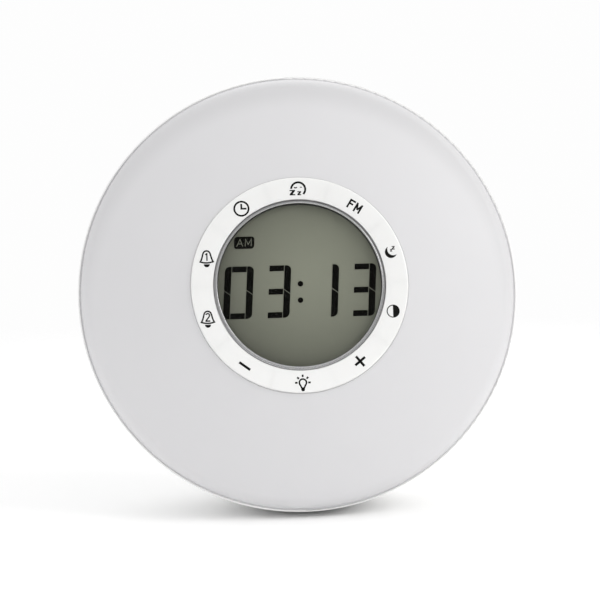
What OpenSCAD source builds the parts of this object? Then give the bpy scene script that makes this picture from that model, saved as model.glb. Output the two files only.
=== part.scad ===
// Sunrise alarm clock: a round lamp body that leans back on a low foot, with a glowing front
// diffuser round a ring of ten keys and a round display. Millimetres, +Z up, viewer at -Y.
// The origin is the middle of the foot pad's underside.
// "Face frame": u to the right, v up the face, w out of the face; w = 0 is the seam plane.

/* [Body] */
// Radius of the round body at its rim
body_r = 90; // [87:1:96]
// Depth of the straight rim band behind the seam
rim_band = 3; // [2.6:0.2:5]
// Width of the raised lip round the diffuser
rim_lip = 0.8; // [0.7:0.05:1]
// Height of the raised lip
rim_rise = 1.4; // [1:0.1:1.8]
// Groove between the lip and the diffuser
rim_groove = 0.4; // [0.3:0.05:0.5]
// Depth from the seam plane to the flat back
back_depth = 62; // [61:0.5:68]
// Radius of the flat back
back_r = 52; // [50:1:56]
// Wall of the rear housing
wall = 2.2; // [1.8:0.1:2.8]
// Gap under the diffuser's edge
seam = 0.4; // [0.3:0.1:0.8]
// Angle by which the face leans back
lean = 14; // [11:0.5:16]
// Angle at which the bowl starts to draw in behind the rim band
flank_draft = 8; // [6:0.5:10]

/* [Foot] */
// Width of the foot
foot_w = 64; // [62:1:72]
// Depth of the foot, front to back
foot_d = 44; // [43:1:48]
// Radius of the foot's rounded ends
foot_corner_r = 20; // [18:1:21]
// How far the foot pad stands proud of the foot
pad_proud = 1; // [0.6:0.1:1.6]
// Thickness of the foot pad
pad_t = 1.6; // [1.2:0.1:2]
// Gap between the lowest line of the round body and the floor
floor_gap = 1.2; // [1.1:0.1:2]

/* [Diffuser] */
// Radius of curvature of the dome
dome_r = 220; // [200:5:260]
// Radius of the rounded outer edge
edge_r = 7.5; // [6:0.5:9]
// Wall of the diffuser
diffuser_wall = 2; // [1.6:0.1:2.4]
// Height of the snap hooks behind the chassis plate
hook_h = 1.4; // [1:0.1:2]
// Width of a snap hook
hook_w = 7; // [5:0.5:9]

/* [Key ring] */
// Outer radius of the key ring
ring_r = 43.6; // [43:0.2:45]
// Radial width of the key ring
ring_w = 9; // [8.4:0.2:9.4]
// Thickness of a key cap
key_t = 2.2; // [1.8:0.1:2.6]
// How far the keys stand proud of the diffuser
key_proud = 1; // [0.6:0.1:1.6]
// Rounding of the key ring's edges
key_round = 0.7; // [0.4:0.1:0.9]
// Seam between neighbouring keys
key_seam = 0.12; // [0.1:0.01:0.3]
// Travel of a key
key_travel = 0.5; // [0.3:0.05:0.6]
// Radius of a key's post
post_r = 1.8; // [1.5:0.1:2]

/* [Display] */
// Wall of the display bezel
bezel_wall = 0.6; // [0.5:0.05:0.7]
// Width of the bezel's front lip
bezel_lip = 1.5; // [1.3:0.1:1.8]
// Thickness of the display window
window_t = 1.2; // [1:0.1:1.6]
// Thickness of the liquid crystal panel
lcd_t = 2; // [1.6:0.1:2.4]
// Thickness of the backlight guide
guide_t = 2.5; // [2:0.1:3]
// Width of a digit
digit_w = 11.7; // [10:0.1:12]
// Height of a digit
digit_h = 21.3; // [18:0.1:22]
// Width of an upright segment
upright_w = 2.8; // [2:0.1:3]
// Height of a level segment
level_h = 2.5; // [2:0.1:3]

/* [Light] */
// Number of light emitting diodes
led_count = 24; // [12:4:36]
// Radius of the circle of light emitting diodes
led_circle_r = 66; // [60:1:72]

/* [Speaker] */
// Height of the speaker's centre above the face's centre
speaker_v = 22; // [21:0.5:23]
// Radius of the grille's opening
grille_r = 21.5; // [20.5:0.5:22]
// Radius of a grille hole
grille_hole_r = 1; // [0.8:0.1:1.2]
// Travel of the speaker cone, each way
cone_travel = 1; // [0.5:0.1:1.2]

/* [Battery compartment] */
// Depth of the compartment's centre below the face's centre
battery_drop = 24; // [23.5:0.5:26]
// Thickness of the battery door
door_t = 2.2; // [2:0.1:2.6]
// Radius of the door's pivot stubs
stub_r = 0.7; // [0.5:0.05:0.75]

/* [Boards and fasteners] */
// Thickness of the circuit boards
board_t = 1.6; // [1.2:0.2:2]
// Radius of the circle of housing screws
screw_circle_r = 62; // [60:1:64]
// Radius of a housing screw's shaft
screw_r = 1.45; // [1.2:0.05:1.6]
// Radius of a small screw's shaft
small_screw_r = 1.1; // [0.9:0.05:1.2]

/* [Hidden] */
$fn = 96;

// Clearances: shaft in bore, seated parts, parts with room between them, and overlap for clean cuts
shaft_fit = 0.05;
seat_fit = 0.1;
free_fit = 0.3;
cut = 1;

// Keys, clockwise from the top
KEYS = ["snooze", "radio", "sleep", "contrast", "plus", "light", "minus", "alarm_2", "alarm_1", "clock"];
key_pitch = 360 / len(KEYS);
key_angles = [for (i = [0:len(KEYS) - 1]) 90 - i * key_pitch];
key_seam_angle = 2 * asin(key_seam / 2 / (ring_r - ring_w / 2));

// Rear bowl: an arc from the rim band to the flat back, which starts at the draft's slope
flank_drop = back_depth - rim_band;
flank_chord = norm([body_r - back_r, flank_drop]);
flank_turn = 2 * (atan2(body_r - back_r, flank_drop) - flank_draft);
flank_r = flank_chord / 2 / sin(flank_turn / 2);
flank_c = body_r - flank_r * cos(flank_draft);
flank_w = flank_r * sin(flank_draft) - rim_band;

// Place of the face's centre above the foot
face_z = flank_c * cos(lean) - flank_w * sin(lean) + flank_r + floor_gap;
foot_lead = 3;
face_y = -foot_lead - foot_d / 2;
foot_top = face_z / 2;

// Dome of the diffuser
dome_rim_r = body_r - rim_lip - rim_groove;
dome_w = seam - sqrt(pow(dome_r - edge_r, 2) - pow(dome_rim_r - edge_r, 2));
collar_r = ring_r + free_fit;
collar_wall = 2;
crown_w = dome_w + sqrt(pow(dome_r, 2) - pow(collar_r, 2));
edge_slope = (dome_rim_r - edge_r) / (dome_r - edge_r);
lip_t = 1.6;
lip_lead = 0.9;
lip_r = body_r - wall - lip_lead;

// Chassis plate behind the light chamber
chassis_t = 2;
chassis_top_w = -4;
chassis_w = chassis_top_w - chassis_t;
chassis_r = lip_r - seat_fit;
chassis_bore_r = 30;
hook_angles = [for (i = [0:5]) 30 + 60 * i];
hook_t = 1.4;
hook_barb = 0.8;

// Heights of the key and display stack
key_top_w = crown_w + key_proud;
key_under_w = key_top_w - key_t;
web_t = 1.6;
web_gap = 0.7;
web_top_w = key_under_w - key_travel - web_gap;
web_under_w = web_top_w - web_t;
post_end_w = web_under_w - key_travel - seat_fit;
stem_h = 1.5;
switch_h = 3.5;
switch_size = 6;
switch_top_w = post_end_w - stem_h;
board_top_w = switch_top_w - switch_h;
board_under_w = board_top_w - board_t;
switch_inset = 5.8;
switch_circle_r = ring_r - switch_inset;
stem_r = 1.7;

// Display pod
bore_r = ring_r - ring_w;
bezel_r = bore_r - free_fit;
bezel_bore_r = bezel_r - bezel_wall;
view_r = bezel_r - bezel_lip;
bezel_proud = 0.3;
bezel_top_w = key_top_w + bezel_proud;
window_recess = 1.2;
window_top_w = bezel_top_w - window_recess;
window_under_w = window_top_w - window_t;
frame_wall = 0.6;
frame_rim_t = 0.5;
frame_bore_r = bezel_bore_r - seat_fit - frame_wall;
lcd_r = frame_bore_r - shaft_fit;
lcd_top_w = window_under_w - frame_rim_t;
lcd_under_w = lcd_top_w - lcd_t;
guide_under_w = lcd_under_w - guide_t;
strip_v = 27.5;
strip_l = 30;
strip_t = 2;
pod_r = ring_r - seat_fit;
pod_wall = 1.8;
pod_bore_r = pod_r - pod_wall;
flange_w = 6;
flange_t = 1.6;
flange_lead = 0.5;
flange_r = collar_r + collar_wall + flange_lead;
pod_boss_r = 3.2;
boss_circle_r = pod_bore_r - pod_boss_r + seat_fit;
pod_boss_angles = [36, 144, 216, 324];
board_boss_r = 2.8;
board_boss_angles = [0, 72, 180, 252];

// Digits
segment_t = 0.12;
slant = 4;
split_angle = 36;
split_gap = 0.35;
bar_gap = 0.25;
segment_corner = 2;
digit_v = -2.3;
digit_places = [-24.4, -9.3, 9.85, 24.8];
digit_lit = ["abcdef", "abgcd", "bc", "abgcd"];
colon_u = 0.3;
colon_r = 1.2;
colon_v = [0.6, -6.05];
badge_place = [-21.8, 17.8];
badge_size = [7.9, 4.7];
badge_corner = 1.2;

// Light board
led_size = [3.5, 2.8, 1.9];
led_window_lead = 1;
reflector_t = 0.8;
reflector_wall = 1;
reflector_w = chassis_top_w + board_t + led_size[2] - free_fit;
reflector_in_r = flange_r + 2 * seat_fit;
reflector_out_r = lip_r - lip_t - reflector_wall / 2;
led_board_in_r = reflector_in_r + reflector_wall + free_fit;
led_board_out_r = reflector_out_r - reflector_wall - free_fit;
led_lead_angle = 262;
led_lead_r = (led_circle_r + reflector_out_r) / 2;
led_lead_hole_r = 3;
led_lead_drop = 12;

// Speaker, facing the flat back
back_in_w = wall - back_depth;
grille_lip = 0.9;
grille_back_t = 1;
grille_rings = 5;
grille_margin = 1.5;
grille_back_in_r = grille_r - 2;
grille_pitch = (grille_r - grille_margin - grille_hole_r) / grille_rings;
quarters = [45, 135, 225, 315];
seat_ring_h = 2;
seat_ring_w = 5.8;
seat_ring_r = grille_r + seat_ring_w;
speaker_flange_w = back_in_w + seat_ring_h;
flange_plate_t = 1.2;
speaker_screw_inset = 2.6;
speaker_screw_r = seat_ring_r - speaker_screw_inset;
speaker_screw_l = 4;
speaker_hole_deep = 3.2;
basket_r = grille_r - free_fit - seat_fit;
basket_wall = 1;
basket_depth = 5.5;
basket_cone = 4.5;
basket_window_w = 10;
basket_window_low = 1.4;
basket_window_margin = 4;
magnet_r = 14;
magnet_h = 8;
coil_r = 7;
coil_wall = 0.5;
coil_gap = 0.5;
roll_w = 3.6;
cone_r = basket_r - roll_w;
cone_w = speaker_flange_w + flange_plate_t + cone_travel;
cone_depth = 6.5;
cone_wall = 0.6;
cone_neck = 1;
cap_r = 9;
basket_end_w = speaker_flange_w + flange_plate_t + basket_depth + basket_cone;
yoke_t = 1.6;
coil_lead = 1;
coil_h = basket_end_w + magnet_h - cone_travel - coil_lead - cone_w - cone_depth;

// Battery compartment for two AAA cells
cell_r = 5.2;
cell_l = 44;
cell_gap = 0.6;
contact_t = 0.4;
cell_tip_h = 1;
cell_tip_r = 1.9;
spring_h = 3.4;
spring_r = 2.4;
leaf_w = 7;
leaf_h = 8;
leaf_gap = 1;
bay_l = cell_l + 2 * (spring_h + contact_t);
bay_margin = 0.7;
bay_w = 4 * cell_r + cell_gap + 2 * bay_margin;
bay_wall = 2.8;
ledge = 1.2;
hinge_gap = 0.4;
bay_lift = 1.2;
bay_floor_w = door_t + 2 * cell_r + bay_lift - back_depth;
door_l = bay_l + 2 * ledge;
pivot_v = -battery_drop - bay_w / 2 - ledge + door_t / 2;
pivot_w = door_t / 2 - back_depth;
door_top_v = -battery_drop + bay_w / 2 + ledge;
stub_l = 1;
tongue_w = 10;
tongue_t = 1.2;
tongue_h = 2.5;
tongue_gap = 0.8;
rib_h = 0.6;
rib_w = 16;
rib_t = 0.9;
rib_pitch = 2;
rib_margin = 3;
battery_wire_u = 20;
battery_wire_hole_r = 1.4;

// Foot, level with the floor
foot_plate_z = pad_proud;
foot_in_z = pad_proud + wall;
pad_inset = 4;
board_clear = 2.6;
board_inset = wall + board_clear;
standoff_h = 2;
board_z = foot_in_z + standoff_h;
board_up_z = board_z + board_t;
board_screw_inset = [11.2, 13];
board_screw_x = foot_w / 2 - board_screw_inset[0];
board_screw_y = foot_d / 2 - board_screw_inset[1];
standoff_r = 2.8;
foot_back_y = foot_d / 2;
header_h = 4;
header_size = [7, 4];
header_u = foot_w * 0.2;
header_front_inset = 10.5;
header_front_y = header_front_inset - foot_d / 2;
side_header_inset = 11;
side_header_y = 1.5;
headers = [
    [-header_u, header_front_y],
    [header_u, header_front_y],
    [foot_w / 2 - side_header_inset, side_header_y]
];
ribbon_header = [2, 3.2];
chip = [12, 12, 1.6];
chip_place = [-14, -6];
driver_chip = [7, 5, 1.5];
driver_place = [10, 8];
capacitor_r = 2;
capacitor_h = 6;
capacitor_places = [[-14, 10], [-9, 10]];
socket_size = [7.6, 6, 2.7];
socket_wall = 0.4;
socket_inset = 1;
socket_depth = 4;
socket_mouth = [socket_size[0] - 2 * socket_wall, socket_depth];
grommet_place = [-40, -14];
grommet_r = 3;
grommet_lip = 1.2;
grommet_bore_r = 0.9;

// Screws
screw_head_r = 2.8;
screw_head_h = 1.8;
small_head_r = 2.1;
small_head_h = 1.3;
recess_share = 1.3;
recess_t = 0.6;
recess_deep = 0.8;
well_r = 3.6;
well_wall = 1.6;
well_floor_w = -16;
well_floor_t = 2;
screw_angles = [40, 140, 220, 320];
chassis_boss_r = 3.6;
screw_l = 10.5;
small_screw_l = 6;

// Wires
wire_r = 0.7;
ribbon_w = 12;
ribbon_t = 0.8;
ribbon_u = 10;
ribbon_v = -16;
ribbon_w_end = -27;
lead_rise = 6;
lead_bend_z = 22;
speaker_lead_bend = [body_r * 0.4, -28, -30];

// World place of a point given in the face frame
function place(p) = [
    p[0],
    face_y + p[1] * sin(lean) - p[2] * cos(lean),
    face_z + p[1] * cos(lean) + p[2] * sin(lean)
];
function is_lit(name, letters) = len(search(name, letters)) > 0;
function slanted(p) = [p[0] + p[1] * tan(slant), p[1]];
function ring_angles(count) = [for (i = [0:count - 1]) 360 * i / count];
function header_top(i) = [headers[i][0], headers[i][1], board_up_z + header_h];

// Ribbon's lower bend, where it turns down into the foot
ribbon_end = place([ribbon_u, ribbon_v, ribbon_w_end]);
ribbon_y = ribbon_end[1];
function ribbon_z(y, side) =
    ribbon_end[2] + (ribbon_y - y) * tan(lean) + side * ribbon_t / 2 / cos(lean);

module face_frame() {
    translate([0, face_y, face_z]) rotate([90 - lean, 0, 0]) children();
}

// Ring or disc between two heights
module ring(r_out, r_in, w_low, w_high) {
    translate([0, 0, w_low]) difference() {
        cylinder(r = r_out, h = w_high - w_low);
        translate([0, 0, -cut]) cylinder(r = r_in, h = w_high - w_low + 2 * cut);
    }
}

module disc(r, w_low, w_high) {
    translate([0, 0, w_low]) cylinder(r = r, h = w_high - w_low);
}

// Copies at an angle on a circle
module around(angles, radius) {
    for (a = angles) rotate(a) translate([radius, 0, 0]) children();
}

module rounded_plate(w, d, h, r) {
    linear_extrude(h) union() {
        square([w, d - 2 * r], center = true);
        square([w - 2 * r, d], center = true);
        for (x = [-1, 1], y = [-1, 1]) translate([x * (w / 2 - r), y * (d / 2 - r)]) circle(r = r);
    }
}

module rod(a, b, r) {
    step = b - a;
    length = norm(step);
    translate(a) rotate([0, acos(step[2] / length), atan2(step[1], step[0])]) cylinder(r = r, h = length);
}

// Round wire with a ball, a little fuller than the wire, at each bend
module wire(points) {
    for (i = [0:len(points) - 2]) rod(points[i], points[i + 1], wire_r);
    for (i = [1:len(points) - 2]) translate(points[i]) sphere(r = wire_r + shaft_fit);
}

// Screw with its head's seat at 0, head above and shaft below
module screw(shaft_r, length, head_r, head_h) {
    translate([0, 0, -length]) cylinder(r = shaft_r, h = length);
    difference() {
        cylinder(r = head_r, h = head_h);
        for (a = [0, 90]) rotate(a) translate([0, 0, head_h])
            cube([recess_share * head_r, recess_t, 2 * recess_deep], center = true);
    }
}

// Rear housing's section, drawn in by inset and cut off at w = front
module bowl_profile(inset, front) {
    translate([0, -rim_band]) square([body_r - inset, rim_band + front]);
    intersection() {
        translate([0, inset - back_depth]) square([body_r, flank_drop - inset]);
        translate([flank_c, flank_w]) circle(r = flank_r - inset);
    }
}

module bowl(inset, front) {
    rotate_extrude($fn = 180) bowl_profile(inset, front);
}

// Outside of the rear housing, with the lip that stands round the diffuser
module rimmed_bowl() {
    rotate_extrude($fn = 180) {
        bowl_profile(0, 0);
        translate([body_r - rim_lip, -rim_band]) square([rim_lip, rim_band + rim_rise - rim_lip / 2]);
        translate([body_r - rim_lip / 2, rim_rise - rim_lip / 2]) circle(r = rim_lip / 2);
    }
}

// Plate with the foot's plan, drawn in by inset
module foot_outline(inset, h) {
    rounded_plate(foot_w - 2 * inset, foot_d - 2 * inset, h, foot_corner_r - inset);
}

module foot_block(inset) {
    translate([0, 0, foot_plate_z + inset]) foot_outline(inset, foot_top - foot_plate_z - inset);
}

module at_speaker() {
    translate([0, speaker_v, 0]) children();
}

module at_battery() {
    translate([0, -battery_drop, 0]) children();
}

module box_between(l, d, w_low, w_high) {
    translate([-l / 2, -d / 2, w_low]) cube([l, d, w_high - w_low]);
}

module rear_housing_inside() {
    intersection() {
        bowl(wall / 2, 0);
        union() {
            around(screw_angles, screw_circle_r) disc(well_r + well_wall, -back_depth, well_floor_w);
            at_speaker() disc(seat_ring_r, -back_depth, speaker_flange_w);
            at_battery() box_between(bay_l + 2 * bay_wall, bay_w + 2 * bay_wall, -back_depth,
                bay_floor_w + wall);
        }
    }
}

module rear_housing_openings() {
    around(screw_angles, screw_circle_r) {
        disc(well_r, -back_depth - cut, well_floor_w - well_floor_t);
        disc(screw_r + free_fit, -back_depth, 0);
    }
    at_speaker() {
        disc(grille_r, -back_depth - cut, speaker_flange_w + cut);
        disc(grille_r + grille_lip + seat_fit, back_in_w, speaker_flange_w + cut);
        around(quarters, speaker_screw_r)
            disc(small_screw_r + shaft_fit, speaker_flange_w - speaker_hole_deep, speaker_flange_w + cut);
    }
    at_battery() {
        box_between(bay_l, bay_w, -back_depth - cut, bay_floor_w);
    }
    translate([-door_l / 2 - free_fit, pivot_v - door_t / 2 - hinge_gap, -back_depth - cut]) cube([
        door_l + 2 * free_fit,
        door_top_v + free_fit - pivot_v + door_t / 2 + hinge_gap,
        door_t + seat_fit + cut
    ]);
    translate([-door_l / 2 - stub_l - seat_fit, pivot_v, pivot_w]) rotate([0, 90, 0])
        cylinder(r = stub_r + shaft_fit, h = door_l + 2 * stub_l + 2 * seat_fit);
    translate([battery_wire_u, -battery_drop, bay_floor_w - cut])
        cylinder(r = battery_wire_hole_r, h = wall + 2 * cut);
    translate([grommet_place[0], grommet_place[1], -back_depth - cut])
        cylinder(r = grommet_r + seat_fit, h = wall + 2 * cut);
}

// Copies at the four screws of the main board
module at_board_screws() {
    for (x = [-1, 1], y = [-1, 1]) translate([x * board_screw_x, y * board_screw_y, 0]) children();
}

module rear_housing() {
    color("ghostwhite") difference() {
        union() {
            difference() {
                union() {
                    face_frame() rimmed_bowl();
                    foot_block(0);
                }
                face_frame() bowl(wall, cut);
                foot_block(wall);
            }
            face_frame() rear_housing_inside();
            at_board_screws() translate([0, 0, pad_t]) cylinder(r = standoff_r, h = board_z - pad_t);
        }
        face_frame() rear_housing_openings();
        translate([0, 0, -cut]) foot_outline(pad_inset - seat_fit, pad_t + cut);
        at_board_screws() translate([0, 0, foot_in_z]) cylinder(r = small_screw_r + shaft_fit, h = board_z);
        translate([0, foot_back_y - wall / 2, board_up_z + socket_size[2] / 2])
            cube([socket_size[0] + 2 * free_fit, 2 * wall, socket_size[2] + 2 * free_fit], center = true);
    }
}

// Diffuser's section: dome, rounded edge and straight skirt, drawn in by inset
module dome_profile(inset) {
    translate([0, chassis_top_w]) square([dome_rim_r - inset, seam - chassis_top_w]);
    translate([0, seam]) intersection() {
        square([dome_rim_r - inset, edge_r]);
        union() {
            translate([dome_rim_r - edge_r, 0]) circle(r = edge_r - inset);
            square([dome_rim_r - edge_r, edge_r - inset]);
        }
    }
    intersection() {
        translate([0, dome_w]) circle(r = dome_r - inset, $fn = 360);
        translate([0, seam]) square([dome_rim_r - edge_r + (edge_r - inset) * edge_slope, dome_r]);
    }
}

module diffuser() {
    color("white") face_frame() {
        rotate_extrude($fn = 180) difference() {
            union() {
                difference() {
                    dome_profile(0);
                    dome_profile(diffuser_wall);
                }
                intersection() {
                    dome_profile(0);
                    union() {
                        translate([collar_r, flange_w]) square([collar_wall, crown_w]);
                        translate([lip_r - lip_t, chassis_top_w]) square([lip_t, seam - chassis_top_w + 3]);
                    }
                }
            }
            translate([lip_r, chassis_top_w - cut]) square([body_r, seam - chassis_top_w + cut]);
            translate([0, chassis_top_w - cut]) square([collar_r, dome_r]);
            translate([0, chassis_top_w - cut]) square([lip_r - lip_t, seam - chassis_top_w + cut]);
        }
        around(hook_angles, lip_r - hook_t) {
            translate([0, -hook_w / 2, chassis_w - hook_h]) cube([hook_t, hook_w, chassis_t + hook_h + cut]);
            translate([-hook_barb, -hook_w / 2, chassis_w - hook_h])
                cube([hook_barb + hook_t / 2, hook_w, hook_h - seat_fit]);
        }
    }
}

// One key: a sector of the ring with rounded edges, and a post that reaches the switch
module key_profile() {
    r_in = bore_r;
    translate([r_in, key_under_w]) square([ring_w, key_t - key_round]);
    translate([r_in + key_round, key_under_w]) square([ring_w - 2 * key_round, key_t]);
    for (r = [r_in + key_round, ring_r - key_round]) translate([r, key_top_w - key_round])
        circle(r = key_round);
}

module key(i) {
    color("white") face_frame() rotate(key_angles[i]) {
        rotate(key_seam_angle / 2 - key_pitch / 2)
            rotate_extrude(angle = key_pitch - key_seam_angle, $fn = 180) key_profile();
        translate([switch_circle_r, 0, 0]) disc(post_r, post_end_w, key_under_w + key_t / 2);
    }
}

module switch_stem(i) {
    color("dimgray") face_frame() rotate(key_angles[i]) translate([switch_circle_r, 0, 0])
        disc(stem_r, switch_top_w - key_travel, post_end_w);
}

module switch_bodies() {
    color("black") face_frame() around(key_angles, switch_circle_r)
        difference() {
            box_between(switch_size, switch_size, board_top_w, switch_top_w);
            disc(stem_r + seat_fit, switch_top_w - 2 * key_travel - seat_fit, switch_top_w + cut);
        }
}

module display_bezel() {
    color("silver") face_frame() rotate_extrude($fn = 180) {
        translate([bezel_bore_r, web_top_w]) square([bezel_wall, bezel_top_w - web_top_w - bezel_wall / 2]);
        translate([bezel_r - bezel_wall / 2, bezel_top_w - bezel_wall / 2]) circle(r = bezel_wall / 2);
        translate([view_r + bezel_wall / 2, window_top_w])
            square([bezel_lip - bezel_wall, bezel_top_w - window_top_w]);
        translate([view_r, window_top_w]) square([bezel_lip, bezel_top_w - window_top_w - bezel_wall / 2]);
        translate([view_r + bezel_wall / 2, bezel_top_w - bezel_wall / 2]) circle(r = bezel_wall / 2);
    }
}

module display_window() {
    color("lightcyan", 0.4) face_frame() disc(bezel_bore_r - seat_fit, window_under_w, window_top_w);
}

module lcd_frame() {
    color("black") face_frame() {
        ring(frame_bore_r + frame_wall, frame_bore_r, board_top_w, window_under_w);
        ring(frame_bore_r + frame_wall, view_r, lcd_top_w, window_under_w);
    }
}

module lcd_panel() {
    color("darkkhaki") face_frame() disc(lcd_r, lcd_under_w, lcd_top_w);
}

module backlight_guide() {
    color("whitesmoke") face_frame() intersection() {
        disc(lcd_r, guide_under_w, lcd_under_w);
        box_between(2 * lcd_r, 2 * (strip_v - strip_t), guide_under_w, lcd_under_w);
    }
}

module contact_strips() {
    color("pink") face_frame() for (side = [-1, 1]) translate([0, side * strip_v, 0])
        box_between(strip_l, strip_t, board_top_w, lcd_under_w);
}

// One upright segment: side is 1 at the digit's right, up is 1 in its upper half
module upright(side, up) {
    x_out = side * digit_w / 2;
    x_in = x_out - side * upright_w;
    x_mid = (x_in + x_out) / 2;
    corner_x = x_out - side * segment_corner;
    corner_y = digit_h / 2 - segment_corner;
    rounded = [for (a = [0:15:90])
        [corner_x + side * segment_corner * cos(a), up * (corner_y + segment_corner * sin(a))]];
    ends = [for (x = [x_in, x_out]) [x, up * split_gap / 2 - (x - x_mid) * tan(split_angle)]];
    outline = concat(ends, rounded, [[x_in, up * digit_h / 2]]);
    polygon([for (p = outline) slanted(p)]);
}

// One level segment: row is 1 at the top, 0 in the middle, -1 at the bottom
module level_bar(row) {
    half = digit_w / 2 - upright_w - bar_gap;
    y = row * (digit_h - level_h) / 2;
    corners = [[-half, -1], [half, -1], [half, 1], [-half, 1]];
    polygon([for (p = corners) slanted([p[0], y + p[1] * level_h / 2])]);
}

module digit(letters) {
    if (is_lit("a", letters)) level_bar(1);
    if (is_lit("g", letters)) level_bar(0);
    if (is_lit("d", letters)) level_bar(-1);
    if (is_lit("b", letters)) upright(1, 1);
    if (is_lit("c", letters)) upright(1, -1);
    if (is_lit("f", letters)) upright(-1, 1);
    if (is_lit("e", letters)) upright(-1, -1);
}

module lcd_segments() {
    color("black") face_frame() translate([0, 0, lcd_top_w]) {
        intersection() {
            linear_extrude(segment_t) for (i = [0:len(digit_places) - 1])
                translate([digit_places[i], digit_v]) digit(digit_lit[i]);
            disc(view_r, -cut, cut);
        }
        for (v = colon_v) translate([colon_u, v, 0]) cylinder(r = colon_r, h = segment_t);
        translate([badge_place[0], badge_place[1], 0])
            rounded_plate(badge_size[0], badge_size[1], segment_t, badge_corner);
    }
}

// Cup that carries the keys, the display and the control board
module display_housing() {
    color("white") face_frame() difference() {
        union() {
            ring(pod_r, pod_bore_r, chassis_top_w, web_top_w);
            ring(pod_r - seat_fit, bezel_bore_r, web_under_w, web_top_w);
            ring(flange_r, pod_bore_r, flange_w - flange_t, flange_w);
            around(pod_boss_angles, boss_circle_r) disc(pod_boss_r, chassis_top_w, board_under_w);
            around(board_boss_angles, boss_circle_r) disc(board_boss_r, board_top_w, web_top_w);
        }
        around(key_angles, switch_circle_r)
            disc(post_r + free_fit, web_under_w - cut, web_top_w + cut);
        around(pod_boss_angles, boss_circle_r)
            disc(small_screw_r + shaft_fit, chassis_top_w - cut, chassis_top_w + small_screw_l);
        around(board_boss_angles, boss_circle_r)
            disc(small_screw_r + shaft_fit, board_top_w - cut, web_under_w);
    }
}

module control_board() {
    color("green") face_frame() difference() {
        disc(pod_bore_r - free_fit, board_under_w, board_top_w);
        around(board_boss_angles, boss_circle_r)
            disc(small_screw_r + free_fit, board_under_w - cut, board_top_w + cut);
    }
}

module chassis() {
    color("white") face_frame() difference() {
        union() {
            disc(chassis_r, chassis_w, chassis_top_w);
            around(screw_angles, screw_circle_r)
                disc(chassis_boss_r, well_floor_w + seat_fit, chassis_w);
        }
        disc(chassis_bore_r, chassis_w - cut, chassis_top_w + cut);
        around(screw_angles, screw_circle_r) disc(screw_r + shaft_fit, well_floor_w - cut, chassis_w);
        around(pod_boss_angles, boss_circle_r)
            disc(small_screw_r + free_fit, chassis_w - cut, chassis_top_w + cut);
        around(hook_angles, lip_r - hook_t - hook_barb - free_fit)
            translate([0, -hook_w / 2 - free_fit, chassis_w - cut])
                cube([body_r, hook_w + 2 * free_fit, chassis_t + 2 * cut]);
        rotate(led_lead_angle) translate([led_lead_r, 0, 0])
            disc(led_lead_hole_r, chassis_w - cut, chassis_top_w + cut);
    }
}

module led_board() {
    color("white") face_frame() difference() {
        ring(led_board_out_r, led_board_in_r, chassis_top_w, chassis_top_w + board_t);
        rotate(led_lead_angle) translate([led_lead_r, 0, 0])
            disc(wire_r + free_fit, chassis_top_w - cut, chassis_top_w + board_t + cut);
    }
}

module leds() {
    color("gold") face_frame() around(ring_angles(led_count), led_circle_r)
        box_between(led_size[0], led_size[1], chassis_top_w + board_t, chassis_top_w + board_t + led_size[2]);
}

module reflector() {
    color("white") face_frame() difference() {
        union() {
            ring(reflector_out_r, reflector_in_r, reflector_w - reflector_t, reflector_w);
            ring(reflector_out_r, reflector_out_r - reflector_wall, chassis_top_w, reflector_w);
            ring(reflector_in_r + reflector_wall, reflector_in_r, chassis_top_w, reflector_w);
        }
        around(ring_angles(led_count), led_circle_r)
            disc(led_size[0] / 2 + led_window_lead, chassis_top_w + board_t, reflector_w + cut);
    }
}

// Grille: a plug with rings of holes, held from behind by its lip
module speaker_grille() {
    color("whitesmoke") face_frame() at_speaker() difference() {
        union() {
            disc(grille_r - seat_fit, -back_depth, back_in_w);
            disc(grille_r + grille_lip, back_in_w, back_in_w + grille_back_t);
        }
        disc(grille_back_in_r, back_in_w, back_in_w + grille_back_t + cut);
        disc(grille_hole_r, -back_depth - cut, back_in_w + cut);
        for (k = [1:grille_rings]) around(ring_angles(6 * k), k * grille_pitch)
            disc(grille_hole_r, -back_depth - cut, back_in_w + cut);
    }
}

module speaker_frame() {
    flange_top_w = speaker_flange_w + flange_plate_t;
    shoulder_w = flange_top_w + basket_depth;
    color("dimgray") face_frame() at_speaker() difference() {
        rotate_extrude() difference() {
            union() {
                translate([0, speaker_flange_w]) square([seat_ring_r, flange_plate_t]);
                translate([0, speaker_flange_w]) square([basket_r, shoulder_w - speaker_flange_w]);
                polygon([[0, shoulder_w], [basket_r, shoulder_w], [magnet_r, basket_end_w],
                    [0, basket_end_w]]);
            }
            translate([0, speaker_flange_w - cut])
                square([basket_r - basket_wall, shoulder_w - speaker_flange_w + cut]);
            polygon([[0, flange_top_w], [basket_r - basket_wall, flange_top_w],
                [basket_r - basket_wall, shoulder_w], [magnet_r - basket_wall, basket_end_w - yoke_t],
                [0, basket_end_w - yoke_t]]);
            translate([0, shoulder_w])
                square([coil_r + coil_wall + coil_gap, basket_end_w - shoulder_w + cut]);
        }
        around(quarters, speaker_screw_r)
            disc(small_screw_r + free_fit, speaker_flange_w - cut, flange_top_w + cut);
        around(ring_angles(4), magnet_r + basket_wall)
            translate([0, -basket_window_w / 2, flange_top_w + basket_window_low])
                cube([basket_r, basket_window_w, basket_depth + basket_cone - basket_window_margin]);
    }
}

// Ring magnet with a rear plate and a pole inside the coil
module speaker_magnet() {
    color("silver") face_frame() at_speaker() {
        ring(magnet_r, coil_r + coil_wall + coil_gap, basket_end_w, basket_end_w + magnet_h);
        disc(magnet_r, basket_end_w + magnet_h, basket_end_w + magnet_h + yoke_t);
        disc(coil_r - coil_gap, basket_end_w, basket_end_w + magnet_h + yoke_t);
    }
}

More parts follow.
